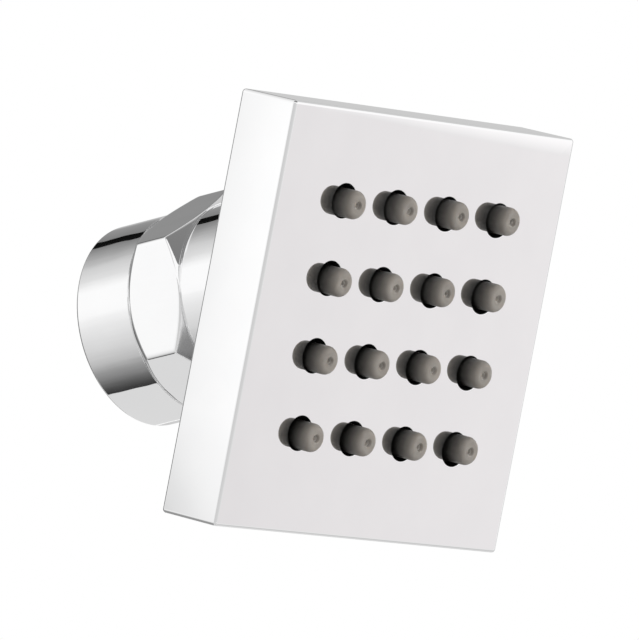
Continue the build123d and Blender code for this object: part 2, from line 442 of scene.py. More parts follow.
def bump(tree, height, depth, before=None):
    """Bump whose height spans a depth in metres."""
    node = tree.nodes.new("ShaderNodeBump")
    node.inputs["Strength"].default_value = 1.0
    node.inputs["Distance"].default_value = depth
    tree.links.new(height, node.inputs["Height"])
    if before is not None:
        tree.links.new(before, node.inputs["Normal"])
    return node.outputs["Normal"]


def calculate(tree, operation, first, second):
    """Math node on two values."""
    node = tree.nodes.new("ShaderNodeMath")
    node.operation = operation
    tree.links.new(first, node.inputs[0])
    tree.links.new(second, node.inputs[1])
    return node.outputs["Value"]


def set_stops(ramp, stops, tone=(1, 1, 1)):
    """Give a colour ramp its (share, grey) stops, in a tone."""
    elements = ramp.color_ramp.elements
    elements[0].position = stops[0][0]
    elements[1].position = stops[-1][0]
    for share, _level in stops[1:-1]:
        elements.new(share)
    for element, (_share, level) in zip(elements, stops):
        element.color = (level * tone[0], level * tone[1], level * tone[2], 1)


# Finishes
def chrome(name, level, roughness, waves):
    """Plating, with the smears and waves that polishing leaves. Waves are (scale, stretch, depth) bumps."""
    tree, shader = new_material(name)
    shader.inputs["Metallic"].default_value = 1.0
    smear = noise(tree, scale=160, detail=4)
    dark = np.add(level, (-0.01, -0.01, -0.006))
    light = np.add(level, (0.01, 0.01, 0.012))
    tree.links.new(tint(tree, smear, dark, light), shader.inputs["Base Color"])
    tree.links.new(spread(tree, smear, *roughness), shader.inputs["Roughness"])
    surface = None
    for scale, stretch, depth in waves:
        surface = bump(tree, noise(tree, scale, detail=1, stretch=stretch), depth, surface)
    tree.links.new(surface, shader.inputs["Normal"])


def moulded(name, dark, light, roughness, grain, grain_depth, specular=0.5):
    """Rubber or plastic with a fine moulded grain. Returns its tree and shader."""
    tree, shader = new_material(name)
    shader.inputs["Specular IOR Level"].default_value = specular
    clouds = noise(tree, scale=400, detail=3)
    change = 0.06
    tree.links.new(tint(tree, clouds, dark, light), shader.inputs["Base Color"])
    tree.links.new(spread(tree, clouds, roughness - change, roughness + change), shader.inputs["Roughness"])
    tree.links.new(bump(tree, noise(tree, grain, detail=2), grain_depth), shader.inputs["Normal"])
    return tree, shader


def bare_metal(name, dark, light, stretch):
    """Turned or drawn metal with fine tool lines."""
    tree, shader = new_material(name)
    shader.inputs["Metallic"].default_value = 1.0
    lines = noise(tree, scale=900, detail=3, stretch=stretch)
    tree.links.new(tint(tree, lines, dark, light), shader.inputs["Base Color"])
    tree.links.new(spread(tree, lines, low=0.22, high=0.38), shader.inputs["Roughness"])
    tree.links.new(bump(tree, lines, depth=4e-6), shader.inputs["Normal"])


SILICONE_SURFACE = {"roughness": 0.5, "grain": 5000, "grain_depth": 1.2e-5, "specular": 0.35}


def silicone():
    """Translucent grey silicone with painted shade: dark inside the holes, where no light comes in, pale at
    the tips.
    """
    tree, shader = moulded("silicone", (0.31, 0.285, 0.256), (0.36, 0.331, 0.298), **SILICONE_SURFACE)
    shader.inputs["Subsurface Weight"].default_value = 0.8
    shader.inputs["Subsurface Radius"].default_value = (1, 0.9, 0.8)
    shader.inputs["Subsurface Scale"].default_value = 0.8 * MM
    clouds = shader.inputs["Base Color"].links[0].from_socket
    coordinates = tree.nodes.new("ShaderNodeTexCoord")
    along = tree.nodes.new("ShaderNodeVectorMath")
    along.operation = "DOT_PRODUCT"
    along.inputs[1].default_value = stem_axis
    tree.links.new(coordinates.outputs["Object"], along.inputs[0])
    face = ball_centre @ stem_axis + (HEAD_BACK + HEAD_DEPTH) * MM
    ends = (face - NOZZLE_REACH * MM, face + NOZZLE_REACH * MM)
    share = map_range(tree, along.outputs["Value"], ends, (0, 1))
    # Painted shade: the colour is multiplied darker from the tips down to the face and into the holes.
    ramp = tree.nodes.new("ShaderNodeValToRGB")
    stops = [(0.3, 0.02), (0.5, 0.04), (0.62, 0.12), (0.73, 0.28), (0.85, 0.57), (0.95, 0.88), (1.0, 1.0)]
    set_stops(ramp, stops)
    tree.links.new(share, ramp.inputs["Fac"])
    shade = tree.nodes.new("ShaderNodeMix")
    shade.data_type = "RGBA"
    shade.blend_type = "MULTIPLY"
    shade.inputs["Factor"].default_value = 1.0
    tree.links.new(clouds, shade.inputs["A"])
    tree.links.new(ramp.outputs["Color"], shade.inputs["B"])
    tree.links.new(shade.outputs["Result"], shader.inputs["Base Color"])


BRIGHT_PLATING = 0.965
SATIN_PLATING = 0.74
NUT_WAVES = [(200, (1, 0.9, 1), 6e-5), (1400, (1, 0.08, 1), 6e-6)]
HEAD_WAVES = [(60, (1, 1, 1), 2.5e-6)]
SATIN_WAVES = [(2500, (1, 1, 1), 1.5e-6)]
chrome("nut_chrome", BRIGHT_PLATING, (0.03, 0.06), NUT_WAVES)
chrome("head_chrome", BRIGHT_PLATING, (0.008, 0.016), HEAD_WAVES)
chrome("satin_chrome", SATIN_PLATING, (0.2, 0.26), SATIN_WAVES)
# Partly real and partly painted shade: bare unplated plastic inside the head, made near-black to stand for
# the shade in the holes.
moulded("bare_inside_painted_shade", grey(0.012), grey(0.02), roughness=0.6, grain=3000, grain_depth=1e-5, specular=0.2)
silicone()
# Painted light: the bores are coloured much paler than the silicone, for the light that comes through the
# nozzle's wall into them.
moulded("bore_silicone_painted_light", (0.62, 0.59, 0.56), (0.68, 0.65, 0.61), **SILICONE_SURFACE)
moulded("black_rubber", grey(0.018), grey(0.032), roughness=0.55, grain=4000, grain_depth=1.5e-5)
bare_metal("brass", (0.62, 0.44, 0.20), (0.80, 0.60, 0.31), stretch=(1, 0.2, 1))
bare_metal("stainless_steel", (0.52, 0.52, 0.51), (0.66, 0.66, 0.65), stretch=(1, 1, 0.2))
SEAT_COLOURS = ((0.76, 0.75, 0.70), (0.82, 0.81, 0.77))
moulded("seat_plastic", *SEAT_COLOURS, roughness=0.4, grain=2500, grain_depth=8e-6)
PLATE_COLOURS = ((0.085, 0.085, 0.09), (0.11, 0.11, 0.12))
moulded("plate_plastic", *PLATE_COLOURS, roughness=0.45, grain=3000, grain_depth=1e-5)


def dress(piece, finishes, body, slot, *nodes):
    """Give a new piece its finishes and its body, and hide the CAD nodes that it stands for."""
    for finish in finishes:
        piece.data.materials.append(materials[finish])
    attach(piece, body)
    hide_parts(*nodes)


# Nut
THREAD_STEP = 0.07  # between the rows of the thread's mesh
THREAD_MESH_END = INLET_DEPTH - 0.15
BEVEL_ROWS = 30
BEVEL_OVERRUN = 0.25  # how far the close rows of a bevel run on to the flats
FLAT_ROWS = 5
FLAT_INSET = 0.35  # from the bevels to the sparse rows on the flats
HEX_FRONT_INSET = 0.08
HEX_FRONT_FILLET = 0.06
HEX_REAR_INSET = 0.06
HEX_REAR_LIFT = 0.03
HEX_REAR_STEP = 0.015
HEX_REAR_FILLET = 0.04
NUT_SEAM = (HEX_START - 0.15, HEX_START - 0.12)  # on the collar, where the section's two ends meet


def sector_angles(per_sector=48, crowding=0.75):
    """Angles round the nut, closer together near the hexagon's corners."""
    share = (np.arange(per_sector) + 0.5) / per_sector * 2 - 1
    within = pi / 6 * (share + crowding * np.sin(pi * share) / pi)
    return np.concatenate([pi / 3 * sector + within for sector in range(6)])


def flat_radius(half, towards):
    """Distance to a flat in directions with these cosines to it, and far off where it faces away."""
    least = 0.4
    return np.where(towards > least, half / np.maximum(towards, least), 3 * half)


def hexagon_radius(angles, ahead):
    """Hexagon bar with bevelled ends and softened edges. Two of its flats stand upright."""
    rise = HEX_HALF / cos(pi / 6) - HEX_HALF
    limits = [
        np.full_like(angles, HEX_HALF + (ahead - HEX_START) * rise / HEX_REAR_BEVEL),
        np.full_like(angles, HEX_HALF + (HEX_END - ahead) * rise / HEX_FRONT_BEVEL),
    ]
    limits += [flat_radius(HEX_HALF, np.cos(angles - flat * pi / 3)) for flat in range(6)]
    nearest = np.min(limits, axis=0)
    total = sum(np.exp(-(limit - nearest) / HEX_SOFTNESS) for limit in limits)
    return nearest - HEX_SOFTNESS * np.log(total)


def thread_radius(angles, ahead):
    """Right-hand inside thread with rounded crests and roots, cut by the lead-in and run out at its end."""
    phase = 2 * pi * ahead / THREAD_PITCH - angles
    wave = np.arcsin(THREAD_ROUNDING * np.sin(phase)) / np.arcsin(THREAD_ROUNDING)
    run_out = np.clip((INLET_DEPTH - THREAD_RELIEF - ahead) / THREAD_RUN_OUT, 0, 1)
    cut = INLET_BORE_R + THREAD_DEPTH * (0.5 + 0.5 * wave) * run_out
    return np.maximum(cut, INLET_BORE_R + INLET_LEAD_IN - ahead)


def all_round(angles, rows):
    """Rows of one radius all the way round."""
    return [(np.full_like(angles, row[0]), row[1]) for row in rows]


def nut_rows(angles):
    """Rows of (radius round the nut, ahead) along the nut's section, from the collar in through the bore,
    out over the lip and back along the outside."""
    lip_start = NUT_LENGTH - LIP_THICKNESS
    rear = rounded([
        (COLLAR_R, NUT_SEAM[0]),
        (COLLAR_R, 0),
        (INLET_BORE_R + INLET_LEAD_IN + INLET_FACE_STEP, 0),
    ], COLLAR_BEVEL, steps=6)
    thread = [(thread_radius(angles, ahead), ahead) for ahead in np.arange(0, THREAD_MESH_END, THREAD_STEP)]
    front = rounded([
        (INLET_BORE_R, THREAD_MESH_END),
        (INLET_BORE_R, INLET_DEPTH),
        (SEAT_BORE_R, INLET_DEPTH),
        (SEAT_BORE_R, lip_start),
        (LIP_R, lip_start),
        (LIP_R, NUT_LENGTH - LIP_FLARE),
        (LIP_R + LIP_FLARE, NUT_LENGTH),
        (RING_R, NUT_LENGTH),
        (RING_R, HEX_END),
        (HEX_HALF - HEX_FRONT_INSET, HEX_END),
    ], [FINE_EDGE] * 4 + [SOFT_EDGE, SMALL_EDGE, RING_BEVEL, HEX_FRONT_FILLET], steps=5)
    flat_start = HEX_START + HEX_REAR_BEVEL
    flat_end = HEX_END - HEX_FRONT_BEVEL
    stops = np.concatenate([
        np.linspace(HEX_END, flat_end - BEVEL_OVERRUN, BEVEL_ROWS),
        np.linspace(flat_end - FLAT_INSET, flat_start + FLAT_INSET, FLAT_ROWS),
        np.linspace(flat_start + BEVEL_OVERRUN, HEX_START + HEX_REAR_LIFT, BEVEL_ROWS),
    ])
    hexagon = [(hexagon_radius(angles, ahead), ahead) for ahead in stops]
    edge = rounded([
        (HEX_HALF - HEX_REAR_INSET, HEX_START + HEX_REAR_STEP),
        (COLLAR_R, HEX_START + HEX_REAR_STEP),
        (COLLAR_R, NUT_SEAM[1]),
    ], HEX_REAR_FILLET, steps=3)
    return all_round(angles, rear) + thread + all_round(angles, front) + hexagon + all_round(angles, edge)


def make_nut():
    angles = sector_angles()
    rows = nut_rows(angles)
    points = np.concatenate([
        np.stack([radius * np.cos(angles), radius * np.sin(angles), np.full_like(angles, ahead)], axis=1)
        for radius, ahead in rows
    ])
    count = len(angles)
    quads = []
    for row in range(len(rows)):
        near = row * count
        far = (row + 1) % len(rows) * count
        quads += [(near + i, far + i, far + (i + 1) % count, near + (i + 1) % count) for i in range(count)]
    piece = make_piece("nut_body", points, quads, on_wall, area_normals(points, quads))
    dress(piece, ["nut_chrome"], "fitting", "chrome", "swivel_nut")


# Filter
WIRE_SIDES = 6
STOPS_PER_PITCH = 6
FEWEST_STOPS = 4


def make_inlet_washer():
    skin = Skin()
    end = INLET_DEPTH + FILTER_THICKNESS
    middle = INLET_DEPTH + FILTER_THICKNESS / 2
    rows = rounded([
        (INSERT_R, middle),
        (INSERT_R, INLET_DEPTH),
        (FILTER_HOLE_R, INLET_DEPTH),
        (FILTER_HOLE_R, end),
        (INSERT_R, end),
        (INSERT_R, middle),
    ], FILTER_EDGE)
    skin.sweep(circles(count=96), rows[:-1], closed=True)
    dress(skin.make("inlet_washer", on_wall), ["black_rubber"], "fitting", "black_rubber", "filter_washer")


def wire_skin(length, offset, sign):
    """Points and normals of a wire that runs across, as rings along its wave."""
    centre = INLET_DEPTH + FILTER_THICKNESS + 2 * WIRE_R
    count = max(FEWEST_STOPS, int(2 * length / GAUZE_PITCH * STOPS_PER_PITCH))
    points = []
    normals = []
    for stop in np.linspace(-length, length, count):
        lift = sign * WIRE_R * cos(pi * stop / GAUZE_PITCH)
        slope = -sign * WIRE_R * pi / GAUZE_PITCH * sin(pi * stop / GAUZE_PITCH)
        for side in range(WIRE_SIDES):
            angle = 2 * pi * side / WIRE_SIDES
            lean = sin(angle) / sqrt(1 + slope**2)
            normal = np.array([-lean * slope, cos(angle), lean])
            points.append(np.array([stop, offset, centre + lift]) + WIRE_R * normal)
            normals.append(normal)
    return np.array(points), np.array(normals)


def wire_faces(first, count):
    """Faces of a wire whose points start at an index: its sides, then its two ends."""
    faces = []
    last = first + count - WIRE_SIDES
    for start in range(first, last, WIRE_SIDES):
        for side in range(WIRE_SIDES):
            here = start + side
            after = start + (side + 1) % WIRE_SIDES
            faces.append((here, after, after + WIRE_SIDES, here + WIRE_SIDES))
    faces.append(list(range(first, first + WIRE_SIDES))[::-1])
    faces.append(list(range(last, last + WIRE_SIDES)))
    return faces


def make_gauze():
    """Plain weave of round wire. Half of its wires run across, and half run up."""
    points = []
    normals = []
    faces = []
    reach = INSERT_R - GAUZE_EDGE_GAP
    lanes = int(reach / GAUZE_PITCH)
    for upright in (0, 1):
        for lane in range(-lanes, lanes + 1):
            offset = lane * GAUZE_PITCH
            length = sqrt(reach**2 - offset**2) - WIRE_R
            wire, outward = wire_skin(length, offset, (-1) ** (lane + upright))
            sides = wire_faces(len(points), len(wire))
            if upright:
                wire = wire[:, (1, 0, 2)]
                outward = outward[:, (1, 0, 2)]
                sides = [side[::-1] for side in sides]
            points.extend(wire)
            normals.extend(outward)
            faces += sides
    piece = make_piece("woven_gauze", points, faces, on_wall, normals)
    dress(piece, ["stainless_steel"], "fitting", "stainless_steel", "filter_gauze")


# Ball and stem
BALL_STEPS = 72
STEM_SIDES = 96
STEM_SEAM = (SHOULDER_START - 1, SHOULDER_START - 0.9)  # on the neck, where the section's two ends meet
BALL_STRIP = 0.1  # of the neck beside the ball
BORE_STRIP = 0.05  # of the bore beside the ball


def stem_outline(radius, ahead):
    """Round, with two spanner flats on the shoulder."""
    points, outward = circle(radius, count=STEM_SIDES)
    half = SHOULDER_FLATS / 2
    if SHOULDER_START <= ahead <= SHOULDER_END and radius > half:
        points = outward * np.minimum(radius, flat_radius(half, np.abs(outward[:, 0])))[:, None]
    return points, outward


def make_stem():
    ball_back = sqrt(BALL_R**2 - STEM_BORE_R**2)
    neck_start = sqrt(BALL_R**2 - NECK_R**2)
    rows = rounded([(NECK_R, STEM_SEAM[0]), (NECK_R, neck_start + BALL_STRIP)], 0)
    rows += ball_rows(BALL_R, atan2(neck_start, NECK_R), -atan2(ball_back, STEM_BORE_R), BALL_STEPS)
    rows += rounded([
        (STEM_BORE_R, BORE_STRIP - ball_back),
        (STEM_BORE_R, SPIGOT_END),
        (SPIGOT_R, SPIGOT_END),
        (SPIGOT_R, SHOULDER_END),
        (SHOULDER_R, SHOULDER_END),
        (SHOULDER_R, SHOULDER_START),
        (NECK_R, SHOULDER_START),
        (NECK_R, STEM_SEAM[1]),
    ], [SPIGOT_MOUTH_EDGE, SPIGOT_EDGE, FINE_EDGE, SMALL_EDGE, SMALL_EDGE, NECK_FILLET])
    skin = Skin()
    rings = [skin.ring(stem_outline(row[0], row[1]), *row[1:]) for row in rows]
    for near, far in zip(rings, rings[1:] + rings[:1]):
        skin.bridge(near, far)
    dress(skin.make("stem_body", on_stem), ["head_chrome"], "ball", "chrome", "ball_stem")


# Head
SHELL_LEDGE = 0.05  # between the shell's side and the well behind its cover
PILOT_FLOOR_EDGE = 0.3
NOZZLE_LIP_ROWS = 5
NOZZLE_STEPS = 6
NOZZLE_BORE_ROWS = 1 + 2 * (NOZZLE_STEPS + 1)
NOZZLE_BORE_FLAT = 0.25  # of the mat's back that the bore's rounded mouth takes up
SPIGOT_HOLE_FLAT = 0.4  # of the cover's front that the spigot hole's rounded edge takes up


def corner_places():
    return [(side * POST_OFFSET, rise * POST_OFFSET) for side in (-1, 1) for rise in (-1, 1)]


def nozzle_places():
    first = -(NOZZLE_ROWS - 1) / 2 * NOZZLE_PITCH
    steps = [first + step * NOZZLE_PITCH for step in range(NOZZLE_ROWS)]
    return [(across + NOZZLE_SIDE, up + NOZZLE_RISE) for across in steps for up in steps]


def add_pilots(skin):
    """Blind screw holes in the posts. Returns the rings of their mouths."""
    pilots = []
    rows = rounded([
        (SCREW_HOLE_R + HOLE_EDGE + EDGE_FLAT, COVER_THICKNESS),
        (SCREW_HOLE_R, COVER_THICKNESS),
        (SCREW_HOLE_R, COVER_THICKNESS + PILOT_DEPTH),
        (SCREW_HOLE_R - PILOT_FLOOR_EDGE, COVER_THICKNESS + PILOT_DEPTH),
    ], HOLE_EDGE, steps=2)
    for place in corner_places():
        top, bottom = skin.sweep(circles(place, count=24), rows)
        pilots.append(top)
        skin.add(bottom[::-1])
    return pilots


def add_nozzle_holes(skin):
    """Holes in the face, bare and painted near-black inside for their shade, and plated round their lips.
    Returns the rings behind and in front.
    """
    back_holes = []
    front_holes = []
    rows = rounded([
        (NOZZLE_HOLE_R + FINE_EDGE + EDGE_FLAT, FACE_BACK),
        (NOZZLE_HOLE_R, FACE_BACK),
        (NOZZLE_HOLE_R, HEAD_DEPTH),
        (NOZZLE_HOLE_R + FINE_EDGE + EDGE_FLAT, HEAD_DEPTH),
    ], FINE_EDGE)
    for place in nozzle_places():
        outline = circles(place, count=64)
        skin.finish = 1
        back, mouth = skin.sweep(outline, rows[:-NOZZLE_LIP_ROWS])
        skin.finish = 0
        lip, front = skin.sweep(outline, rows[-NOZZLE_LIP_ROWS:])
        skin.bridge(mouth, lip)
        back_holes.append(back)
        front_holes.append(front)
    return back_holes, front_holes


def make_shell():
    """Square cup with four posts inside. Its first finish is plating, and its second the bare inside, painted
    near-black for its shade.
    """
    skin = Skin(HEAD_BACK)
    outer_rows = rounded([
        (HEAD_HALF - HEAD_EDGE - EDGE_FLAT, HEAD_DEPTH),
        (HEAD_HALF, HEAD_DEPTH),
        (HEAD_HALF, 0),
        (HEAD_HALF - HEAD_EDGE - EDGE_FLAT, 0),
    ], HEAD_EDGE, steps=6)
    front, rim_outer = skin.sweep(squares(HEAD_HALF, HEAD_CORNER_R), outer_rows)
    mouth_rows = rounded([
        (CAVITY_HALF + SMALL_EDGE + EDGE_FLAT, 0),
        (CAVITY_HALF, 0),
        (CAVITY_HALF, COVER_THICKNESS),
    ], SMALL_EDGE, steps=3)
    rim_inner, ledge_outer = skin.sweep(squares(CAVITY_HALF, CAVITY_CORNER_R), mouth_rows)
    skin.bridge(rim_outer, rim_inner)
    skin.finish = 1
    well = posted_square(CAVITY_HALF - SHELL_LEDGE)
    ledge_inner = skin.ring(well, COVER_THICKNESS, -1, 0)
    floor = skin.ring(well, FACE_BACK, -1, 0)
    skin.bridge(ledge_inner, floor)
    pilots = add_pilots(skin)
    skin.fill([ledge_outer, ledge_inner] + pilots, False)
    back_holes, front_holes = add_nozzle_holes(skin)
    skin.fill([front] + front_holes, True)
    skin.finish = 1
    skin.fill([floor] + back_holes, False)
    dress(skin.make("shell_body", on_stem), ["head_chrome", "bare_inside_painted_shade"], "head", "chrome", "face_shell")


def make_cover():
    """Flat square cover with a boss for the spigot and four countersunk holes."""
    skin = Skin(HEAD_BACK)
    rim_rows = rounded([
        (COVER_HALF - SMALL_EDGE - EDGE_FLAT, COVER_THICKNESS),
        (COVER_HALF, COVER_THICKNESS),
        (COVER_HALF, 0),
        (COVER_HALF - SMALL_EDGE - EDGE_FLAT, 0),
    ], SMALL_EDGE)
    front, back = skin.sweep(squares(COVER_HALF, COVER_CORNER_R), rim_rows)
    boss_rows = rounded([
        (BOSS_BASE_R + BOSS_FOOT, 0),
        (BOSS_BASE_R, 0),
        (BOSS_BACK_R, -BOSS_HEIGHT),
        (WASHER_RECESS_R, -BOSS_HEIGHT),
        (WASHER_RECESS_R, WASHER_RECESS_DEPTH - BOSS_HEIGHT),
        (SPIGOT_HOLE_R, WASHER_RECESS_DEPTH - BOSS_HEIGHT),
        (SPIGOT_HOLE_R, COVER_THICKNESS),
        (SPIGOT_HOLE_R + SPIGOT_HOLE_FLAT, COVER_THICKNESS),
    ], [BOSS_FILLET, BOSS_EDGE, SOFT_EDGE, FINE_EDGE, FINE_EDGE, SOFT_EDGE], steps=5)
    boss_back, boss_front = skin.sweep(circles(count=96), boss_rows)
    head_height = SCREW_HEAD_HOLE_R - SCREW_HOLE_R
    screw_rows = rounded([
        (SCREW_HEAD_HOLE_R + HOLE_EDGE + EDGE_FLAT, 0),
        (SCREW_HEAD_HOLE_R, 0),
        (SCREW_HOLE_R, head_height),
        (SCREW_HOLE_R, COVER_THICKNESS),
        (SCREW_HOLE_R + HOLE_EDGE + EDGE_FLAT, COVER_THICKNESS),
    ], HOLE_EDGE, steps=3)
    back_rings = [back, boss_back]
    front_rings = [front, boss_front]
    for place in corner_places():
        near, far = skin.sweep(circles(place), screw_rows)
        back_rings.append(near)
        front_rings.append(far)
    skin.fill(back_rings, False)
    skin.fill(front_rings, True)
    dress(skin.make("cover_body", on_stem), ["satin_chrome"], "head", "chrome", "rear_cover")


def make_mat():
    """Sheet with its nozzles. Its first finish is the outside, and its second the bores, painted pale for the
    light that comes in through the nozzle's wall.
    """
    skin = Skin(HEAD_BACK)
    tip = HEAD_DEPTH + NOZZLE_REACH
    rim_rows = rounded([
        (-SOFT_EDGE - EDGE_FLAT, FACE_BACK),
        (0, FACE_BACK),
        (0, MAT_BACK),
        (-SOFT_EDGE - EDGE_FLAT, MAT_BACK),
    ], SOFT_EDGE, steps=3)
    sheet, outward = notched_square(MAT_HALF, MAT_NOTCH_HALF, MAT_CORNER_R)
    front, back = skin.sweep(lambda offset: (sheet + offset * outward, outward), rim_rows)
    nozzle_rows = rounded([
        (NOZZLE_BORE_R + NOZZLE_BORE_FLAT, MAT_BACK),
        (NOZZLE_BORE_R, MAT_BACK),
        (NOZZLE_BORE_R, tip - NOZZLE_DIMPLE_DEPTH),
        (NOZZLE_DIMPLE_R, tip),
        (NOZZLE_R, tip),
        (NOZZLE_R, FACE_BACK),
        (NOZZLE_R + SOFT_EDGE + EDGE_FLAT, FACE_BACK),
    ], [SOFT_EDGE, FINE_EDGE, SMALL_EDGE, NOZZLE_TIP_ROUND, SOFT_EDGE], NOZZLE_STEPS)
    back_rings = [back]
    front_rings = [front]
    for place in nozzle_places():
        outline = circles(place)
        skin.finish = 1
        near, bore_end = skin.sweep(outline, nozzle_rows[:NOZZLE_BORE_ROWS])
        skin.finish = 0
        dimple, far = skin.sweep(outline, nozzle_rows[NOZZLE_BORE_ROWS:])
        skin.bridge(bore_end, dimple)
        back_rings.append(near)
        front_rings.append(far)
    skin.fill(front_rings, True)
    skin.fill(back_rings, False)
    piece = skin.make("nozzle_sheet", turned_on_stem)
    dress(piece, ["silicone", "bore_silicone_painted_light"], "head", "silicone", "nozzle_mat")


make_nut()
make_inlet_washer()
make_gauze()
make_stem()
make_shell()
make_cover()
make_mat()

# Finishes of the CAD pieces that keep their own shape
kept_nodes = {
    "brass": ["gland_ring"],
    "black_rubber": ["rear_seal", "stem_washer", "chamber_seal"],
    "seat_plastic": ["front_seat_ring"],
    "plate_plastic": ["spray_plate"],
    "stainless_steel": [f"cover_screw_{number}" for number in range(1, 5)],
}
for finish, nodes in kept_nodes.items():
    for node in nodes:
        node_mesh = frame["nodes"][node].data
        node_mesh.materials.clear()
        node_mesh.materials.append(materials[finish])


# Stage
STUDIO_CENTRE = Vector((0, -0.025, 0))
FLOOR_HEIGHT = -0.64
FLOOR_REACH = 3.4
FLOOR_FADE = (0.64, 2.2)  # distances between which the floor turns to the background's white
FLOOR_GLOW = (0.1, 0.66)
FLOOR_CARD_HEIGHT = -0.59
REAR_LIGHT = 0.2
FRONT_LIGHT = 0.7

# Camera, at the photograph's angle, in degrees and metres. Its aim is in pixels from the picture's centre.
CAMERA_LEFT = 49.518
CAMERA_RISE = -10.381
CAMERA_ROLL = -5.177
CAMERA_DISTANCE = 1.309
CAMERA_LENS = 626.9
AIM_RIGHT_PIXELS = 18.188
AIM_UP_PIXELS = -33.159
PIXELS_PER_MM = 8.5


def camera_matrix():
    left = radians(CAMERA_LEFT)
    rise = radians(CAMERA_RISE)
    roll = radians(CAMERA_ROLL)
    back = Vector((-sin(left) * cos(rise), -cos(left) * cos(rise), sin(rise)))
    level_right = Vector((0, 0, 1)).cross(back).normalized()
    level_up = back.cross(level_right)
    right = cos(roll) * level_right + sin(roll) * level_up
    up = cos(roll) * level_up - sin(roll) * level_right
    aim = right * (AIM_RIGHT_PIXELS / PIXELS_PER_MM) + up * (AIM_UP_PIXELS / PIXELS_PER_MM)
    target = STUDIO_CENTRE + aim * MM
    turn = Matrix((right, up, back)).transposed().to_4x4()
    return Matrix.Translation(target + back * CAMERA_DISTANCE) @ turn


def make_camera():
    data = bpy.data.cameras.new("camera")
    data.lens = CAMERA_LENS
    data.sensor_fit = "HORIZONTAL"
    camera = new_object("camera", data)
    camera.matrix_world = camera_matrix()
    bpy.context.scene.camera = camera


def stage_mesh(name, points, faces, coordinates=None):
    """Mesh that isn't part of the object, with a coordinate pair for each point where it has any."""
    mesh = bpy.data.meshes.new(name)
    mesh.from_pydata(points, [], faces)
    if coordinates is not None:
        layer = mesh.uv_layers.new(name="across")
        for loop in mesh.loops:
            layer.data[loop.index].uv = coordinates[loop.vertex_index]
    item = new_object(name, mesh)
    return item


def level_points(low, high, height):
    """Corners of a level rectangle."""
    return [(x, y, height) for x, y in (low, (high[0], low[1]), high, (low[0], high[1]))]


def seen_rays(tree):
    """One for rays from the camera, also by way of metal or glass, and zero for rays that light things."""
    path = tree.nodes.new("ShaderNodeLightPath")
    level = path.outputs["Is Camera Ray"]
    for kind in ("Is Glossy Ray", "Is Transmission Ray"):
        level = calculate(tree, "MAXIMUM", level, path.outputs[kind])
    return level


def make_floor():
    """Pale floor that shows the object's shadow, and fades to the white of the background far off."""
    points = level_points((-FLOOR_REACH, -FLOOR_REACH), (FLOOR_REACH, FLOOR_REACH), FLOOR_HEIGHT)
    floor = stage_mesh("floor", points, [(0, 1, 2, 3)])
    tree, shader = new_material("floor_paint")
    shader.inputs["Roughness"].default_value = 0.9
    shader.inputs["Specular IOR Level"].default_value = 0.1
    clouds = noise(tree, scale=3, detail=3)
    tree.links.new(tint(tree, clouds, grey(0.79), grey(0.81)), shader.inputs["Base Color"])
    shader.inputs["Emission Color"].default_value = (1, 1, 1, 1)
    place = tree.nodes.new("ShaderNodeTexCoord")
    distance = tree.nodes.new("ShaderNodeVectorMath")
    distance.operation = "LENGTH"
    tree.links.new(place.outputs["Object"], distance.inputs[0])
    glow = map_range(tree, distance.outputs["Value"], FLOOR_FADE, FLOOR_GLOW)
    tree.links.new(calculate(tree, "MULTIPLY", glow, seen_rays(tree)), shader.inputs["Emission Strength"])
    floor.data.materials.append(materials["floor_paint"])


def make_world():
    """White for the camera and in reflections. As a light it is softer, and brighter in front than behind."""
    world = bpy.data.worlds.new("studio")
    bpy.context.scene.world = world
    world.use_nodes = True
    tree = world.node_tree
    background = tree.nodes["Background"]
    background.inputs["Color"].default_value = (1, 1, 1, 1)
    way = tree.nodes.new("ShaderNodeTexCoord")
    split = tree.nodes.new("ShaderNodeSeparateXYZ")
    tree.links.new(way.outputs["Generated"], split.inputs["Vector"])
    light = map_range(tree, split.outputs["Y"], (1, -1), (REAR_LIGHT, FRONT_LIGHT))
    level = calculate(tree, "MAXIMUM", light, seen_rays(tree))
    tree.links.new(level, background.inputs["Strength"])


def soft_lamp(name, place, size, power, beam=180):
    """Square lamp aimed at the object, with its power in watts and its beam in degrees."""
    data = bpy.data.lights.new(name, "AREA")
    data.shape = "SQUARE"
    data.size = size
    data.energy = power
    data.spread = radians(beam)
    lamp = new_object(name, data)
    lamp.location = place
    lamp.rotation_euler = (STUDIO_CENTRE - Vector(place)).to_track_quat("-Z", "Y").to_euler()
    lamp.visible_glossy = False
    lamp.visible_camera = False


# Grey cards that only reflections see. Their stops are (share of the width, grey) pairs.
def finish_card(card, stops, tone=(1, 1, 1)):
    """Give a card its greys, and show it to reflections only."""
    for rays in ("camera", "diffuse", "transmission", "volume_scatter", "shadow"):
        setattr(card, "visible_" + rays, False)
    material = bpy.data.materials.new(card.name)
    material.use_nodes = True
    tree = material.node_tree
    tree.nodes.clear()
    place = tree.nodes.new("ShaderNodeUVMap")
    ramp = tree.nodes.new("ShaderNodeValToRGB")
    set_stops(ramp, stops, tone)
    split = tree.nodes.new("ShaderNodeSeparateXYZ")
    glow = tree.nodes.new("ShaderNodeEmission")
    output = tree.nodes.new("ShaderNodeOutputMaterial")
    tree.links.new(place.outputs["UV"], split.inputs["Vector"])
    tree.links.new(split.outputs["X"], ramp.inputs["Fac"])
    tree.links.new(ramp.outputs["Color"], glow.inputs["Color"])
    tree.links.new(glow.outputs["Emission"], output.inputs["Surface"])
    card.data.materials.append(material)


def even(level):
    """Stops of a card in one grey."""
    return [(0, level), (1, level)]


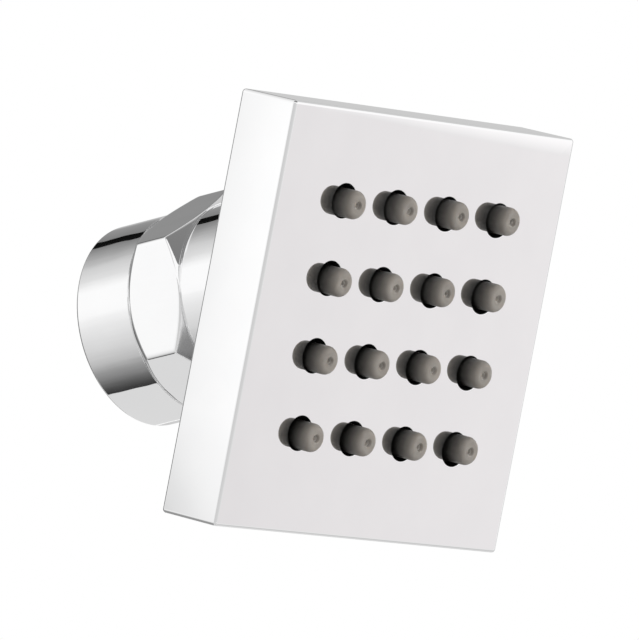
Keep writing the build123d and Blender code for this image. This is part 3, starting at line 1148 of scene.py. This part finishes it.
def studio_card(name, turn, reach, distance, stops):
    """Card on a sphere round the object. Turn is the angle about the fitting's axis, from the right over the
    top, and reach the angle away from the wall's inward direction, both in degrees."""
    across, down = 24, 12
    points = []
    coordinates = []
    for i in range(across + 1):
        for j in range(down + 1):
            around = radians(turn[0] + (turn[1] - turn[0]) * i / across)
            away = radians(reach[0] + (reach[1] - reach[0]) * j / down)
            way = Vector((sin(away) * cos(around), cos(away), sin(away) * sin(around)))
            points.append(STUDIO_CENTRE + distance * way)
            coordinates.append((i / across, j / down))
    width = down + 1
    faces = [
        (i * width + j, (i + 1) * width + j, (i + 1) * width + j + 1, i * width + j + 1)
        for i in range(across)
        for j in range(down)
    ]
    finish_card(stage_mesh(name, points, faces, coordinates), stops)


def floor_card(name, low, high, stops):
    """Card that lies just over the floor between two corners. Its stops run towards the wall."""
    points = level_points(low, high, FLOOR_CARD_HEIGHT)
    finish_card(stage_mesh(name, points, [(0, 1, 2, 3)], [(0, 0), (0, 0), (1, 0), (1, 0)]), stops)


def mirror_card(name, spots, shares, distance, stops, tone=(1, 1, 1)):
    """Card that a flat side of the head mirrors to the camera. Spots are four points of that side, in the
    head's (across, up, ahead) millimetres, and shares are their places along the stops."""
    corners = [on_stem @ (Vector((across, -ahead, up)) * MM) for across, up, ahead in spots]
    facing = (corners[1] - corners[0]).cross(corners[3] - corners[0]).normalized()
    eye = camera_matrix().translation
    behind = eye - 2 * (eye - corners[0]).dot(facing) * facing
    growth = 1 + distance / (eye - corners[0]).length
    points = [behind + (corner - behind) * growth for corner in corners]
    finish_card(stage_mesh(name, points, [(0, 1, 2, 3)], [(share, 0) for share in shares]), stops, tone)


# What the face mirrors, in millimetres of the face and in metres away from it
FACE_CARD_REACH = 60
FACE_CARD_LEAN = 0.4
FACE_CARD_DISTANCE = 1.2
FACE_CARD_TONE = (1, 0.973, 0.981)
WINDOW_LEFT_DEPTH = 0.35
WINDOW_RIGHT_DEPTH = 2.05
WINDOW_SOFT_EDGE = 2.0
WINDOW_HEIGHT = 400
WINDOW_WHITE = 1.03
WINDOW_TONE = (1, 0.985, 0.99)


def face_band(bottom, top):
    """Spots of a band across the face. Bottom and top are its heights at the left and at the right."""
    reach = FACE_CARD_REACH
    places = [(-reach, bottom[0]), (reach, bottom[1]), (reach, top[1]), (-reach, top[0])]
    return [(across, up, HEAD_BACK + HEAD_DEPTH) for across, up in places]


def make_face_cards():
    """What the face mirrors: pale grey, and a white window that starts in a wedge along its top edge."""
    reach = FACE_CARD_REACH
    slope = (WINDOW_LEFT_DEPTH - WINDOW_RIGHT_DEPTH) / (2 * HEAD_HALF)
    middle = HEAD_HALF - (WINDOW_LEFT_DEPTH + WINDOW_RIGHT_DEPTH) / 2
    edge = middle + slope * np.array([-reach, reach])
    spots = face_band((-reach, -reach), edge)
    shares = [(across + FACE_CARD_LEAN * up + reach) / (2 * reach) for across, up, _ahead in spots]
    greys = [(0.17, 0.76), (0.29, 0.79), (0.4, 0.806), (0.5, 0.815), (0.625, 0.825), (0.79, 0.845), (1, 0.85)]
    mirror_card("face_card", spots, shares, FACE_CARD_DISTANCE, greys, FACE_CARD_TONE)
    fade = [(0, 0.815), (0.22, 0.88), (0.5, 0.945), (0.75, 1.0), (1, WINDOW_WHITE)]
    bands = [
        ("window_edge_card", 0, WINDOW_SOFT_EDGE, fade),
        ("window_card", WINDOW_SOFT_EDGE, WINDOW_HEIGHT, even(WINDOW_WHITE)),
    ]
    for name, low, high, greys in bands:
        spots = face_band(edge + low, edge + high)
        mirror_card(name, spots, (0, 0, 1, 1), FACE_CARD_DISTANCE, greys, WINDOW_TONE)


def make_side_cards():
    """What the head's left side mirrors: white by the face and the top, grey by the back and the bottom."""
    back = HEAD_BACK
    front = HEAD_BACK + HEAD_DEPTH
    distance = 0.2
    greys = [
        (0, 0.69), (0.07, 0.76), (0.15, 0.81), (0.23, 0.87), (0.3, 0.91),
        (0.4, 0.95), (0.5, 0.98), (0.6, 1.01), (0.7, 1.03), (1, 1.03),
    ]
    # Heights on the side, with the shares along the greys at its back and at its front
    bottom = (-HEAD_HALF, 0.0, 0.27)
    bend = (-HEAD_HALF / 2, 0.34, 0.62)
    top = (HEAD_HALF, 0.36, 0.75)
    for name, low, high in [("lower_side_card", bottom, bend), ("upper_side_card", bend, top)]:
        places = [(low[0], back), (low[0], front), (high[0], front), (high[0], back)]
        spots = [(-HEAD_HALF, up, ahead) for up, ahead in places]
        mirror_card(name, spots, (low[1], low[2], high[2], high[1]), distance, greys)


def make_cards():
    """What the nut mirrors, then the cards of the other views, the face and the head's left side."""
    upper_right = [(0, 0.62), (0.45, 0.6), (0.64, 0.3), (1, 0.22)]
    studio_card("upper_right_card", (-12, 66), (38, 68), 1.2, upper_right)
    right = [(0, 0.55), (0.2, 0.55), (0.45, 0.62), (1, 0.64)]
    studio_card("right_card", (-12, 66), (68, 118), 1.2, right)
    studio_card("black_strip", (65, 77), (38, 62), 1.19, [(0, 0.004), (1, 0.006)])
    top = [
        (0, 0.22), (0.14, 0.3), (0.27, 0.39), (0.4, 0.5),
        (0.52, 0.63), (0.78, 0.76), (0.9, 0.91), (1, 1.0),
    ]
    studio_card("top_card", (77, 140), (38, 62), 1.2, top)
    studio_card("top_edge_card", (60, 140), (62, 84), 1.2, [(0, 0.62), (1, 1.0)])
    studio_card("overhead_card", (66, 160), (84, 105), 1.25, [(0, 0.55), (0.5, 0.3), (1, 0.75)])
    lower_left = [
        (0, 1.0), (0.05, 0.99), (0.08, 0.98), (0.12, 0.92), (0.22, 0.83), (0.46, 0.67),
        (0.62, 0.5), (0.7, 0.34), (0.86, 0.14), (0.94, 0.07), (1, 0.03),
    ]
    studio_card("lower_left_card", (160, 263), (38, 80), 0.75, lower_left)
    studio_card("rear_ring", (0, 360), (18, 38), 1.21, even(0.3))
    studio_card("rear_disc", (0, 360), (0.5, 18), 1.21, even(0.13))
    studio_card("camera_side_card", (165, 335), (82, 165), 1.32, [(0, 0.62), (0.4, 0.66), (1, 0.78)])
    studio_card("front_top_card", (38, 130), (105, 160), 1.3, [(0, 0.25), (1, 0.2)])
    studio_card("lower_right_card", (-60, -14), (60, 112), 1.2, even(0.5))
    floor_card("rear_floor_card", (-0.25, 0.1), (2.2, 2.2), even(0.71))
    front_floor = [(0, 0.95), (0.35, 0.8), (0.65, 0.54), (0.8, 0.58), (1, 0.72)]
    floor_card("front_floor_card", (0.4, -0.8), (1.3, 0.1), front_floor)
    make_face_cards()
    make_side_cards()


make_floor()
make_cards()
make_world()
soft_lamp("key", place=(0.95, -1.28, -0.1), size=0.6, power=2.8, beam=90)
soft_lamp("top", place=(0.2, 0.1, 1.5), size=0.9, power=6)
make_camera()
bpy.context.scene.view_settings.view_transform = "Standard"
